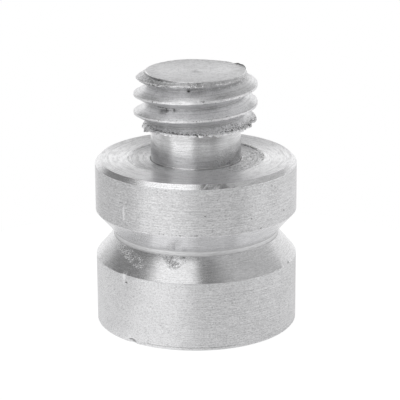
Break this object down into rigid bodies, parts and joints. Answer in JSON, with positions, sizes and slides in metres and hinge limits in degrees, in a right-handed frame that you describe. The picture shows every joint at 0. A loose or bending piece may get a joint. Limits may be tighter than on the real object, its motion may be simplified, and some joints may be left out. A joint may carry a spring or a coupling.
{
  "type": "thread adapter",
  "caption": "Turned aluminium adapter: a coarse threaded stud with a relief neck on a round body that has a V-shaped locking groove and a tapped hole in its seat.",
  "frame": {"origin": "middle of the flat seat that the adapter stands on, on the turning axis", "axes": "+Z along the turning axis, from the seat to the end of the stud; -Y is the side that faces the picture's camera"},
  "size_m": [0.0254, 0.0254, 0.0323],
  "materials": {
    "turned_aluminium": "bare turned aluminium, satin, with fine tool lines"
  },
  "bodies": {
    "root": {"turned_adapter": "turned_aluminium"}
  },
  "joints": []
}
